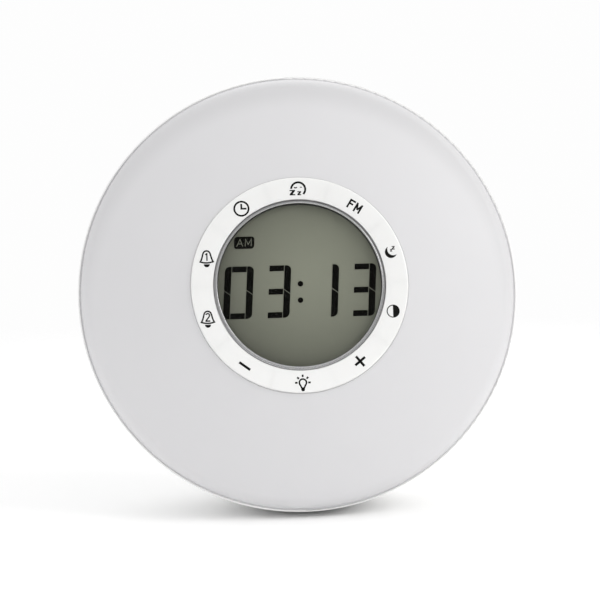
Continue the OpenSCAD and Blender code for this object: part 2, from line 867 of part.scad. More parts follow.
module speaker_cone() {
    color("black") face_frame() at_speaker() rotate_extrude() polygon([
        [coil_r, cone_w + cone_depth],
        [coil_r + coil_wall, cone_w + cone_depth],
        [coil_r + coil_wall, cone_w + cone_depth - cone_neck],
        [cone_r, cone_w + cone_wall],
        [cone_r, cone_w],
        [cone_r - cone_neck, cone_w],
        [coil_r, cone_w + cone_depth - 2 * cone_neck]
    ]);
}

module dust_cap() {
    color("black") face_frame() at_speaker() translate([0, 0, cone_w + cone_depth - cone_neck])
        intersection() {
        rotate([180, 0, 0]) translate([0, 0, -sqrt(cap_r * cap_r - coil_r * coil_r)]) difference() {
            sphere(r = cap_r);
            sphere(r = cap_r - cone_wall);
        }
        disc(coil_r, -cap_r, 0);
    }
}

module voice_coil() {
    color("goldenrod") face_frame() at_speaker()
        ring(coil_r + coil_wall, coil_r, cone_w + cone_depth, cone_w + cone_depth + coil_h);
}

// Half roll between the cone and the basket
module speaker_surround() {
    roll_in = cone_r + free_fit;
    roll_out = basket_r - basket_wall;
    roll_r = (roll_out - roll_in) / 2;
    color("black") face_frame() at_speaker() rotate_extrude() translate([(roll_in + roll_out) / 2, cone_w])
        difference() {
            circle(r = roll_r);
            circle(r = roll_r - cone_wall);
            translate([-2 * roll_r, 0]) square([4 * roll_r, 2 * roll_r]);
        }
}

module speaker_screws() {
    color("silver") face_frame() at_speaker() around(quarters, speaker_screw_r)
        translate([0, 0, speaker_flange_w + flange_plate_t])
            screw(small_screw_r, speaker_screw_l, small_head_r, small_head_h);
}

// Door: plate with a full-round lower edge on two pivot stubs, a snap tongue and grip ribs
module battery_door() {
    plate_h = door_top_v - pivot_v;
    tongue_v = bay_w / 2 - battery_drop - tongue_gap;
    color("ghostwhite") face_frame() {
        translate([-door_l / 2, pivot_v, -back_depth]) cube([door_l, plate_h, door_t]);
        translate([-door_l / 2, pivot_v, pivot_w]) rotate([0, 90, 0]) cylinder(r = door_t / 2, h = door_l);
        translate([-door_l / 2 - stub_l, pivot_v, pivot_w]) rotate([0, 90, 0])
            cylinder(r = stub_r, h = door_l + 2 * stub_l);
        translate([-tongue_w / 2, tongue_v - tongue_t, door_t - back_depth - cut / 2])
            cube([tongue_w, tongue_t, tongue_h]);
        for (i = [0:3]) translate([-rib_w / 2, door_top_v - rib_margin - i * rib_pitch, -back_depth - rib_h])
            cube([rib_w, rib_t, rib_h + cut / 2]);
    }
}

module battery_cells() {
    color("steelblue") face_frame() at_battery() for (side = [-1, 1])
        translate([-side * cell_l / 2, side * (cell_r + cell_gap / 2), bay_floor_w - cell_r - seat_fit])
            rotate([0, side * 90, 0]) {
                cylinder(r = cell_r, h = cell_l - cell_tip_h);
                translate([0, 0, cell_l - cell_tip_h]) cylinder(r = cell_tip_r, h = cell_tip_h);
            }
}

// Leaf contacts at the ends of the compartment
module battery_contacts() {
    cell_v = cell_r + cell_gap / 2;
    color("gold") face_frame() at_battery() for (end = [-1, 1], side = [-1, 1])
        translate([end * (bay_l - contact_t) / 2, side * cell_v, bay_floor_w - leaf_gap - leaf_h / 2]) {
            cube([contact_t, leaf_w, leaf_h], center = true);
            translate([-end * spring_h / 2, 0, 0]) rotate([0, end * 90, 0]) translate([0, 0, -spring_h / 2])
                cylinder(r = spring_r, h = spring_h);
        }
}

module main_board() {
    color("green") difference() {
        translate([0, 0, board_z]) foot_outline(board_inset, board_t);
        at_board_screws() translate([0, 0, board_z - cut])
            cylinder(r = small_screw_r + free_fit, h = board_t + 2 * cut);
    }
}

// Chips, capacitors and wire headers on the main board
module board_components() {
    color("dimgray") translate([0, 0, board_up_z]) {
        translate(chip_place) cube(chip);
        translate(driver_place) cube(driver_chip);
        for (p = capacitor_places) translate(p) cylinder(r = capacitor_r, h = capacitor_h);
        for (h = headers) translate([h[0] - header_size[0] / 2, h[1] - header_size[1] / 2, 0])
            cube([header_size[0], header_size[1], header_h]);
        translate([ribbon_u - (ribbon_w + ribbon_header[0]) / 2, ribbon_y - ribbon_header[1] / 2, 0])
            cube([ribbon_w + ribbon_header[0], ribbon_header[1], header_h]);
    }
}

module power_socket() {
    mouth_y = foot_back_y - socket_inset;
    color("silver") difference() {
        translate([-socket_size[0] / 2, mouth_y - socket_size[1], board_up_z]) cube(socket_size);
        translate([-socket_mouth[0] / 2, mouth_y - socket_mouth[1], board_up_z + socket_wall])
            cube([socket_mouth[0], socket_mouth[1] + cut, socket_size[2] - 2 * socket_wall]);
    }
}

// Rubber bush in the flat back, for a radio's aerial lead
module antenna_grommet() {
    color("black") face_frame() translate([grommet_place[0], grommet_place[1], 0]) difference() {
        union() {
            disc(grommet_r + grommet_lip, -back_depth - grommet_lip, -back_depth);
            disc(grommet_r, -back_depth - grommet_lip, back_in_w + grommet_lip);
            disc(grommet_r + grommet_lip, back_in_w, back_in_w + grommet_lip);
        }
        disc(grommet_bore_r, -back_depth - grommet_lip - cut, back_in_w + grommet_lip + cut);
    }
}

module housing_screws() {
    color("silver") face_frame() around(screw_angles, screw_circle_r)
        translate([0, 0, well_floor_w - well_floor_t]) rotate([180, 0, 0])
            screw(screw_r, screw_l, screw_head_r, screw_head_h);
}

// Small screws that hold the two circuit boards
module board_screws() {
    color("silver") {
        face_frame() around(board_boss_angles, boss_circle_r) translate([0, 0, board_under_w])
            rotate([180, 0, 0]) screw(small_screw_r, small_screw_l, small_head_r, small_head_h);
        at_board_screws() translate([0, 0, board_up_z])
            screw(small_screw_r, board_t + standoff_h - seat_fit, small_head_r, small_head_h);
    }
}

module pod_screws() {
    color("silver") face_frame() around(pod_boss_angles, boss_circle_r) translate([0, 0, chassis_w])
        rotate([180, 0, 0]) screw(small_screw_r, chassis_t + small_screw_l - cut, small_head_r, small_head_h);
}

module foot_pad() {
    color("dimgray") foot_outline(pad_inset, pad_t);
}

// Ribbon from the control board, through the chassis, down to the main board: its side outline
// in y and z, drawn out to its width
module display_ribbon() {
    start_y = place([0, ribbon_v, board_under_w])[1] + seat_fit;
    back_y = ribbon_y + ribbon_t / 2;
    front_y = ribbon_y - ribbon_t / 2;
    end_z = board_up_z + header_h;
    color("lightgray") translate([ribbon_u - ribbon_w / 2, 0, 0]) rotate([90, 0, 90])
        linear_extrude(ribbon_w) polygon([
            [start_y, ribbon_z(start_y, 1)],
            [back_y, ribbon_z(back_y, 1)],
            [back_y, end_z],
            [front_y, end_z],
            [front_y, ribbon_z(front_y, -1)],
            [start_y, ribbon_z(start_y, -1)]
        ]);
}

module led_lead() {
    start_u = led_lead_r * cos(led_lead_angle);
    start_v = led_lead_r * sin(led_lead_angle);
    color("white") wire([
        place([start_u, start_v, chassis_top_w + board_t]),
        place([start_u, start_v, chassis_w - led_lead_drop]),
        [headers[0][0], headers[0][1], lead_bend_z],
        header_top(0)
    ]);
}

module speaker_lead() {
    yoke_w = basket_end_w + magnet_h + yoke_t;
    color("red") wire([
        place([magnet_r / 2, speaker_v, yoke_w]),
        place([magnet_r / 2, speaker_v, yoke_w + lead_rise]),
        place(speaker_lead_bend),
        [headers[1][0], headers[1][1], lead_bend_z],
        header_top(1)
    ]);
}

module battery_lead() {
    color("black") wire([
        place([battery_wire_u, -battery_drop, bay_floor_w + wall]),
        place([battery_wire_u, -battery_drop, bay_floor_w + wall + lead_rise]),
        [headers[2][0], headers[2][1], lead_bend_z],
        header_top(2)
    ]);
}

rear_housing();
diffuser();
for (i = [0:len(KEYS) - 1]) {
    key(i);
    switch_stem(i);
}
display_bezel();
display_window();
lcd_segments();
lcd_panel();
backlight_guide();
lcd_frame();
contact_strips();
display_housing();
control_board();
switch_bodies();
chassis();
led_board();
leds();
reflector();
speaker_grille();
speaker_frame();
speaker_magnet();
speaker_cone();
dust_cap();
voice_coil();
speaker_surround();
speaker_screws();
battery_door();
battery_cells();
battery_contacts();
main_board();
board_components();
power_socket();
antenna_grommet();
housing_screws();
board_screws();
pod_screws();
foot_pad();
display_ribbon();
led_lead();
speaker_lead();
battery_lead();
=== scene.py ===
"""Looks of the sunrise alarm clock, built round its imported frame.

Lengths on the clock are millimetres until they are placed, in face coordinates: u to the right, v up the
face and w out of it. The floor, the lights and the camera are in metres, in the shared frame.
"""

import math

import bmesh
import bpy
from mathutils import Matrix, Vector


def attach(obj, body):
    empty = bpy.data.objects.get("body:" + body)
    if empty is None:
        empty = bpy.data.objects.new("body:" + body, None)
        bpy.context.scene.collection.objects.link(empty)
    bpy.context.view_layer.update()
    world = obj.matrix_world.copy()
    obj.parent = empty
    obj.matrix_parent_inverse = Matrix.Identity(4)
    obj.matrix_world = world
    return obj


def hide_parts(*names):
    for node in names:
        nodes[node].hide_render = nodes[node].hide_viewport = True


MM = 0.001
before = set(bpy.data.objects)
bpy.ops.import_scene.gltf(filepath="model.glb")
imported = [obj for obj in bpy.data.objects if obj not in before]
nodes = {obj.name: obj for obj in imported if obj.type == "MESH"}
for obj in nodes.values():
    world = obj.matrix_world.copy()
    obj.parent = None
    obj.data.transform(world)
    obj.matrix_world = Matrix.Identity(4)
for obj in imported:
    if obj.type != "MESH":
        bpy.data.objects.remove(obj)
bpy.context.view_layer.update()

# ---------------------------------------------------------------- sizes shared with the solid model
# Names end in _R for a radius and in _W for a height out of the face, whose middle is at FACE_Y, FACE_Z
LEAN = math.radians(14)
FACE_Y, FACE_Z = -25.0, 89.711
KEY_TOP_W = 20.643
KEY_UNDER_W = 18.443
KEY_ROUND = 0.7
BORE_R, RING_R = 34.6, 43.6
POST_R, POST_END_W, POST_CIRCLE_R = 1.8, 15.043, 37.8
WINDOW_TOP_W = 19.743
LCD_TOP_W = 18.043
SEGMENT_T = 0.12
KEYS = ["snooze", "radio", "sleep", "contrast", "plus", "light", "minus", "alarm_2", "alarm_1", "clock"]
KEY_PITCH = 360 / len(KEYS)

FACE_U = Vector((1, 0, 0))
FACE_V = Vector((0, math.sin(LEAN), math.cos(LEAN)))
FACE_W = Vector((0, -math.cos(LEAN), math.sin(LEAN)))
FACE_CENTRE = Vector((0, FACE_Y, FACE_Z))


def place(u, v, w):
    """A point of the face, in metres in the shared frame."""
    return (FACE_CENTRE + FACE_U * u + FACE_V * v + FACE_W * w) * MM


# ---------------------------------------------------------------- steps that shaders are built from
def reckon(tree, operation, *given):
    """One step of arithmetic, where each given is a number or a node's output."""
    node = tree.nodes.new("ShaderNodeMath")
    node.operation = operation
    for socket, one in zip(node.inputs, given):
        if isinstance(one, (int, float)):
            socket.default_value = one
        else:
            tree.links.new(one, socket)
    return node.outputs["Value"]


def smooth_step(tree, value, start, end, before, after):
    """Goes smoothly from one number to another while a node's output goes from start to end."""
    step = tree.nodes.new("ShaderNodeMapRange")
    step.interpolation_type = "SMOOTHSTEP"
    for socket, number in (("From Min", start), ("From Max", end), ("To Min", before), ("To Max", after)):
        step.inputs[socket].default_value = number
    tree.links.new(value, step.inputs["Value"])
    return step.outputs["Result"]


def distance_from(tree, point):
    """How far a point of the surface is from a place in the frame, in metres."""
    where = tree.nodes.new("ShaderNodeTexCoord")
    away = tree.nodes.new("ShaderNodeVectorMath")
    away.operation = "DISTANCE"
    away.inputs[1].default_value = tuple(point)
    tree.links.new(where.outputs["Object"], away.inputs[0])
    return away.outputs["Value"]


def paint_shade(tree, share):
    """Paints shade into a material's own colour: multiplies it by a node's output."""
    colour = tree.nodes["Principled BSDF"].inputs["Base Color"]
    shade = tree.nodes.new("ShaderNodeVectorMath")
    shade.operation = "SCALE"
    tree.links.new(colour.links[0].from_socket, shade.inputs[0])
    tree.links.new(share, shade.inputs["Scale"])
    tree.links.new(shade.outputs["Vector"], colour)


# ---------------------------------------------------------------- materials
# A patch's second colour is TINT of the first unless one is given. Light that enters a surface spreads by
# SPREAD_COLOURS of SPREAD_DEPTH metres.
TINT = 0.94
PATCH_DETAIL, GRAIN_DETAIL = 4, 3
BUMP_STRENGTH = 0.5
LEAST_ROUGH = 0.02
SPREAD_COLOURS, SPREAD_DEPTH = (1.0, 0.95, 0.9), 0.004


def surface(name, colour, roughness, *, tint=None, patch=60, blend=0.5, grain=2500, depth=0.02,
            rough_spread=0.06, metallic=0.0, subsurface=0.0, specular=0.5):
    """A moulded, painted or metal surface: colour varies over patches, roughness and height with a grain.

    patch and grain are the scales of the two noises, blend is how softly the patches meet, depth is the
    grain's height in millimetres, and roughness varies by rough_spread either way. Colours are linear.
    """
    mat = bpy.data.materials.new(name)
    mat.use_nodes = True
    tree = mat.node_tree
    shader = tree.nodes["Principled BSDF"]
    shader.inputs["Metallic"].default_value = metallic
    shader.inputs["Specular IOR Level"].default_value = specular
    if subsurface:
        shader.inputs["Subsurface Weight"].default_value = subsurface
        shader.inputs["Subsurface Radius"].default_value = SPREAD_COLOURS
        shader.inputs["Subsurface Scale"].default_value = SPREAD_DEPTH
    where = tree.nodes.new("ShaderNodeTexCoord")

    patches = tree.nodes.new("ShaderNodeTexNoise")
    patches.inputs["Scale"].default_value = patch
    patches.inputs["Detail"].default_value = PATCH_DETAIL
    tree.links.new(where.outputs["Object"], patches.inputs["Vector"])
    mix = tree.nodes.new("ShaderNodeMix")
    mix.data_type = "RGBA"
    mix.inputs["A"].default_value = (*colour, 1)
    mix.inputs["B"].default_value = (*(tint or tuple(c * TINT for c in colour)), 1)
    spread = tree.nodes.new("ShaderNodeMapRange")
    spread.inputs["From Min"].default_value = 0.5 - blend / 2
    spread.inputs["From Max"].default_value = 0.5 + blend / 2
    tree.links.new(patches.outputs["Fac"], spread.inputs["Value"])
    tree.links.new(spread.outputs["Result"], mix.inputs["Factor"])
    tree.links.new(mix.outputs["Result"], shader.inputs["Base Color"])

    fine = tree.nodes.new("ShaderNodeTexNoise")
    fine.inputs["Scale"].default_value = grain
    fine.inputs["Detail"].default_value = GRAIN_DETAIL
    tree.links.new(where.outputs["Object"], fine.inputs["Vector"])
    rough = tree.nodes.new("ShaderNodeMapRange")
    rough.inputs["To Min"].default_value = max(LEAST_ROUGH, roughness - rough_spread)
    rough.inputs["To Max"].default_value = min(1.0, roughness + rough_spread)
    tree.links.new(fine.outputs["Fac"], rough.inputs["Value"])
    tree.links.new(rough.outputs["Result"], shader.inputs["Roughness"])
    bump = tree.nodes.new("ShaderNodeBump")
    bump.inputs["Distance"].default_value = depth * MM
    bump.inputs["Strength"].default_value = BUMP_STRENGTH
    tree.links.new(fine.outputs["Fac"], bump.inputs["Height"])
    tree.links.new(bump.outputs["Normal"], shader.inputs["Normal"])
    return mat


def wear(obj, mat):
    """Puts one material on every face of an object."""
    obj.data.materials.clear()
    obj.data.materials.append(mat)


housing_plastic = surface("housing_plastic", (0.86, 0.86, 0.855), 0.4, patch=50, grain=1500, depth=0.03,
                          tint=(0.845, 0.845, 0.84))
key_plastic = surface("key_plastic", (0.84, 0.84, 0.83), 0.35, patch=70, grain=2600, depth=0.005,
                      tint=(0.828, 0.828, 0.818), subsurface=0.15)
key_ink = surface("key_ink", (0.008, 0.008, 0.008), 0.6, patch=900, grain=6000, depth=0.004,
                  tint=(0.014, 0.014, 0.013), specular=0.0)
bezel_chrome = surface("bezel_chrome", (0.44, 0.44, 0.445), 0.25, patch=90, grain=3500, depth=0.002,
                       metallic=1.0, rough_spread=0.04)
segment_black = surface("segment_black", (0.003, 0.003, 0.0025), 0.6, patch=700, grain=5000, depth=0.001,
                        tint=(0.005, 0.005, 0.004), specular=0.0)
dark_plastic = surface("dark_plastic", (0.03, 0.03, 0.032), 0.5, patch=80, grain=1600, depth=0.02)
inner_white = surface("inner_white", (0.8, 0.8, 0.79), 0.5, patch=60, grain=1500, depth=0.02)
silicone = surface("silicone", (0.32, 0.3, 0.31), 0.55, patch=300, grain=1500, depth=0.01,
                   tint=(0.12, 0.12, 0.13))
circuit_board = surface("circuit_board", (0.02, 0.13, 0.05), 0.35, patch=400, grain=900, depth=0.03,
                        tint=(0.03, 0.2, 0.08), blend=0.05)
led_package = surface("led_package", (0.75, 0.62, 0.25), 0.3, patch=400, grain=2000, depth=0.01)
speaker_steel = surface("speaker_steel", (0.42, 0.42, 0.43), 0.38, patch=90, grain=2000, depth=0.01,
                        metallic=1.0)
magnet = surface("magnet", (0.05, 0.05, 0.052), 0.55, patch=200, grain=1800, depth=0.03)
cone_paper = surface("cone_paper", (0.05, 0.048, 0.045), 0.85, patch=500, grain=1200, depth=0.06,
                     tint=(0.09, 0.085, 0.08))
coil_copper = surface("coil_copper", (0.72, 0.33, 0.16), 0.3, patch=400, grain=3000, depth=0.02, metallic=1.0)
roll_rubber = surface("roll_rubber", (0.02, 0.02, 0.02), 0.7, patch=120, grain=1300, depth=0.02)
screw_steel = surface("screw_steel", (0.45, 0.45, 0.46), 0.3, patch=300, grain=2500, depth=0.01, metallic=1.0)
cell_sleeve = surface("cell_sleeve", (0.03, 0.08, 0.2), 0.3, patch=80, grain=900, depth=0.01,
                      tint=(0.04, 0.1, 0.24))
contact_metal = surface("contact_metal", (0.62, 0.6, 0.55), 0.25, patch=200, grain=2200, depth=0.01,
                        metallic=1.0)
pad_rubber = surface("pad_rubber", (0.045, 0.045, 0.047), 0.8, patch=100, grain=900, depth=0.05)
wire_skin = surface("wire_skin", (0.25, 0.02, 0.02), 0.4, patch=150, grain=1500, depth=0.01,
                    tint=(0.3, 0.03, 0.03))


# Painted shade on the dome: its colour dims between two distances from a point a little below its axis, down
# to a share of its colour
EDGE_SHADE_CENTRE = (-0.5, -8)
EDGE_SHADE_FROM_R, EDGE_SHADE_TO_R, EDGE_SHADE = 82, 91, 0.91


def dome_material():
    """The translucent dome, with painted shade that darkens its outer part, most at the top and not at all at
    the bottom.
    """
    mat = surface("diffuser_plastic", (0.678, 0.674, 0.686), 0.5, patch=40, grain=1800, depth=0.006,
                  tint=(0.67, 0.666, 0.679), subsurface=0.15, specular=0.3)
    tree = mat.node_tree
    away = distance_from(tree, place(*EDGE_SHADE_CENTRE, 0))
    # Painted shade: the dome's colour darkens towards its edge
    paint_shade(tree, smooth_step(tree, away, EDGE_SHADE_FROM_R * MM, EDGE_SHADE_TO_R * MM, 1.0, EDGE_SHADE))
    return mat


# Painted shade on the panel: it loses colour by a power of the distance from its brightest point: LCD_FALL of
# it at LCD_FALL_R
LCD_BRIGHT = (5, 5.5)
LCD_FALL_R, LCD_FALL, LCD_POWER = 39.6, 0.52, 1.7


def lcd_panel_material():
    """The reflective panel: grey-green, with painted shade that leaves it brightest at the upper right of its
    middle and darker all round.
    """
    mat = surface("lcd_glass", (0.256, 0.267, 0.209), 0.35, patch=30, grain=3000, depth=0.001,
                  tint=(0.253, 0.264, 0.206), rough_spread=0.03, specular=0.2)
    tree = mat.node_tree
    # Painted shade: the colour falls off with the distance from the panel's brightest point
    share = reckon(tree, "DIVIDE", distance_from(tree, place(*LCD_BRIGHT, LCD_TOP_W)), LCD_FALL_R * MM)
    fall = reckon(tree, "POWER", share, LCD_POWER)
    paint_shade(tree, reckon(tree, "MULTIPLY_ADD", fall, -LCD_FALL, 1.0))
    return mat


WINDOW_ALPHA, ACRYLIC_IOR = 0.05, 1.49


def window_material():
    """Clear acrylic: it lets the light straight through and keeps a faint skin of gloss."""
    mat = surface("window_clear", (0.01, 0.01, 0.01), 0.08, patch=60, grain=2500, depth=0.0005,
                  rough_spread=0.03)
    shader = mat.node_tree.nodes["Principled BSDF"]
    shader.inputs["Alpha"].default_value = WINDOW_ALPHA
    shader.inputs["IOR"].default_value = ACRYLIC_IOR
    return mat


diffuser_plastic = dome_material()
lcd_glass = lcd_panel_material()
window_clear = window_material()

NODE_MATERIALS = {
    "rear_housing": housing_plastic, "diffuser": diffuser_plastic, "display_bezel": bezel_chrome,
    "display_window": window_clear, "lcd_segments": segment_black, "lcd_panel": lcd_glass,
    "backlight_guide": inner_white, "lcd_frame": dark_plastic, "contact_strips": silicone,
    "display_housing": inner_white, "control_board": circuit_board, "switch_bodies": dark_plastic,
    "chassis": inner_white, "led_board": circuit_board, "leds": led_package, "reflector": inner_white,
    "speaker_grille": housing_plastic, "speaker_frame": speaker_steel, "speaker_magnet": magnet,
    "speaker_cone": cone_paper, "dust_cap": cone_paper, "voice_coil": coil_copper,
    "speaker_surround": roll_rubber, "speaker_screws": screw_steel, "battery_door": housing_plastic,
    "battery_cells": cell_sleeve, "battery_contacts": contact_metal, "main_board": circuit_board,
    "board_components": dark_plastic, "power_socket": contact_metal, "antenna_grommet": roll_rubber,
    "housing_screws": screw_steel, "board_screws": screw_steel, "pod_screws": screw_steel,
    "foot_pad": pad_rubber, "display_ribbon": wire_skin, "led_lead": wire_skin, "speaker_lead": wire_skin,
    "battery_lead": wire_skin,
}
for key in KEYS:
    NODE_MATERIALS["key_" + key] = key_plastic
    NODE_MATERIALS["switch_stem_" + key] = dark_plastic
for name, mat in NODE_MATERIALS.items():
    wear(nodes[name], mat)


# ---------------------------------------------------------------- turned shells round the face's axis
SHARP_ANGLE = math.radians(32)


def finish_piece(bm, name, mat, body, slot, *stands_for):
    """Makes a piece with smooth faces and sharp corners, which rides a body and may stand for nodes."""
    bmesh.ops.recalc_face_normals(bm, faces=bm.faces)
    mesh = bpy.data.meshes.new(name)
    bm.to_mesh(mesh)
    bm.free()
    mesh.shade_smooth()
    mesh.set_sharp_from_angle(angle=SHARP_ANGLE)
    obj = bpy.data.objects.new(name, mesh)
    bpy.context.scene.collection.objects.link(obj)
    wear(obj, mat)
    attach(obj, body)
    if stands_for:
        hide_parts(*stands_for)


def arc(cx, cy, r, start, end, steps):
    """Points of an arc, from one angle to another in degrees."""
    angles = [math.radians(start + (end - start) * i / steps) for i in range(steps + 1)]
    return [(cx + r * math.cos(a), cy + r * math.sin(a)) for a in angles]


def circle(cx, cy, r, sides):
    """Points round a whole circle, each once."""
    return arc(cx, cy, r, 0, 360 - 360 / sides, sides - 1)


def turned(bm, profile, steps, start=0.0, end=360.0):
    """Turns a closed (radius, height) profile round the face's axis; a part turn gets end faces."""
    whole = end - start >= 360
    count = steps if whole else steps + 1
    rings = []
    for i in range(count):
        a = math.radians(start + (end - start) * i / steps)
        rings.append([bm.verts.new(place(r * math.cos(a), r * math.sin(a), w)) for r, w in profile])
    for i in range(steps):
        near, far = rings[i], rings[(i + 1) % count]
        for k in range(len(profile)):
            m = (k + 1) % len(profile)
            bm.faces.new((near[k], near[m], far[m], far[k]))
    if not whole:
        bm.faces.new(rings[0])
        bm.faces.new(rings[-1][::-1])


# The dome: a shallow ball, a rounded edge, a shelf across the groove to the housing's lip, a locating lip
# inside and the collar round the keys. RIM_R is the edge's widest radius, SEAT_R the shelf's end, and LIP_R
# and LIP_IN_R the locating lip's outside and inside
DOME_STEPS, EDGE_STEPS, CROWN_STEPS, COLLAR_STEPS = 256, 20, 40, 6
INNER_CROWN_STEPS, INNER_EDGE_STEPS = 30, 8
DOME_R, EDGE_R, WALL = 220.0, 7.5, 2.0
RIM_R, SKIRT_W = 88.8, 0.4
SEAT_R, GROOVE_W = 89.17, 1.3
LIP_R, LIP_IN_R, LIP_END_W = 86.9, 85.3, -4.0
COLLAR_TOP_R, COLLAR_R, COLLAR_OUT_R, COLLAR_END_W = 43.66, 43.9, 45.9, 6.0
COLLAR_ROUND, COLLAR_ROUND_FROM = 0.22, 72
COLLAR_STEP, COLLAR_SLOPE = 1.2, 0.3
EDGE_C = RIM_R - EDGE_R
DOME_W = SKIRT_W - math.sqrt((DOME_R - EDGE_R) ** 2 - EDGE_C ** 2)
EDGE_TURN = math.degrees(math.atan2(SKIRT_W - DOME_W, EDGE_C))


def dome_arc(radius, r_from, r_to, steps):
    """The dome's own arc, between two radii from the face's axis."""
    start, end = (math.degrees(math.acos(r / radius)) for r in (r_from, r_to))
    return arc(0, DOME_W, radius, start, end, steps)


crown_w = DOME_W + math.sqrt(DOME_R ** 2 - COLLAR_TOP_R ** 2)
inner_edge = EDGE_R - WALL
lip_turn = math.degrees(math.acos((LIP_IN_R - EDGE_C) / inner_edge))
groove_turn = math.degrees(math.asin((GROOVE_W - SKIRT_W) / EDGE_R))
crown_r = DOME_R * math.cos(math.radians(EDGE_TURN))
inner_crown_r = (DOME_R - WALL) * math.cos(math.radians(EDGE_TURN))
collar_top_w = crown_w - COLLAR_STEP
dome_profile = ([(SEAT_R, SKIRT_W), (SEAT_R, GROOVE_W)]
                + arc(EDGE_C, SKIRT_W, EDGE_R, groove_turn, EDGE_TURN, EDGE_STEPS)[:-1]
                + dome_arc(DOME_R, crown_r, COLLAR_TOP_R + COLLAR_ROUND, CROWN_STEPS)
                + arc(COLLAR_TOP_R + COLLAR_ROUND, crown_w - COLLAR_ROUND, COLLAR_ROUND,
                      COLLAR_ROUND_FROM, 180, COLLAR_STEPS)
                + [(COLLAR_TOP_R, collar_top_w), (COLLAR_R, collar_top_w - COLLAR_SLOPE),
                   (COLLAR_R, COLLAR_END_W), (COLLAR_OUT_R, COLLAR_END_W)]
                + dome_arc(DOME_R - WALL, COLLAR_OUT_R, inner_crown_r, INNER_CROWN_STEPS)[:-1]
                + arc(EDGE_C, SKIRT_W, inner_edge, EDGE_TURN, lip_turn, INNER_EDGE_STEPS)
                + [(LIP_IN_R, LIP_END_W), (LIP_R, LIP_END_W), (LIP_R, SKIRT_W)])
dome = bmesh.new()
turned(dome, dome_profile, DOME_STEPS)
finish_piece(dome, "diffuser_shell", diffuser_plastic, "clock_body", "diffuser_plastic", "diffuser")

# The key caps: ten sectors of one ring with hair-thin seams, each on a round post that sinks into it
SEAM = 0.004
SEAM_HALF = math.degrees(SEAM / 2 / POST_CIRCLE_R)
BORE_ROUND = 0.3
POST_SINK = 0.4
CAP_STEPS, KEY_ROUND_STEPS, BORE_ROUND_STEPS, POST_SIDES = 36, 7, 5, 24
cap_profile = ([(BORE_R, KEY_UNDER_W), (RING_R, KEY_UNDER_W)]
               + arc(RING_R - KEY_ROUND, KEY_TOP_W - KEY_ROUND, KEY_ROUND, 0, 90, KEY_ROUND_STEPS)
               + arc(BORE_R + BORE_ROUND, KEY_TOP_W - BORE_ROUND, BORE_ROUND, 90, 180, BORE_ROUND_STEPS))
for i, key in enumerate(KEYS):
    middle = 90 - KEY_PITCH * i
    cap = bmesh.new()
    reach = KEY_PITCH / 2 - SEAM_HALF
    turned(cap, cap_profile, CAP_STEPS, middle - reach, middle + reach)
    cx = POST_CIRCLE_R * math.cos(math.radians(middle))
    cy = POST_CIRCLE_R * math.sin(math.radians(middle))
    foot, head = ([cap.verts.new(place(x, y, w)) for x, y in circle(cx, cy, POST_R, POST_SIDES)]
                  for w in (POST_END_W, KEY_UNDER_W + POST_SINK))
    for k in range(POST_SIDES):
        m = (k + 1) % POST_SIDES
        cap.faces.new((foot[k], foot[m], head[m], head[k]))
    cap.faces.new(foot[::-1])
    cap.faces.new(head)
    finish_piece(cap, "keycap_" + key, key_plastic, key + "_key", "key_plastic", "key_" + key)

# The bezel: a narrow rounded crest on a thin tube in the keys' bore, with a sunk, dark step outside it
BEZEL_VIEW_R, BEZEL_BORE_R, BEZEL_R = 32.95, 33.7, 34.3
CREST_R, CREST_HALF, CREST_RISE, BEZEL_TOP_W = 33.33, 0.38, 0.45, 20.943
STEP_W, TUBE_END_W = 19.2, 16.3
CREST_STEPS, BEZEL_STEPS = 16, 192
crest = [(CREST_R + CREST_HALF * x, BEZEL_TOP_W - CREST_RISE + CREST_RISE * y)
         for x, y in arc(0, 0, 1, 0, 180, CREST_STEPS)]
bezel_profile = crest + [(BEZEL_VIEW_R, WINDOW_TOP_W), (BEZEL_BORE_R, WINDOW_TOP_W),
                         (BEZEL_BORE_R, TUBE_END_W), (BEZEL_R, TUBE_END_W),
                         (BEZEL_R, STEP_W), (CREST_R + CREST_HALF, STEP_W)]
bezel = bmesh.new()
turned(bezel, bezel_profile, BEZEL_STEPS)
finish_piece(bezel, "bezel_ring", bezel_chrome, "clock_body", "bezel_chrome", "display_bezel")


# ---------------------------------------------------------------- flat shapes on the face
# Points closer than MELD metres are one, and a line widens at a corner up to 1 / CORNER_LEAST times
MELD = 1e-6
CORNER_LEAST = 0.5
RING_SIDES = 64


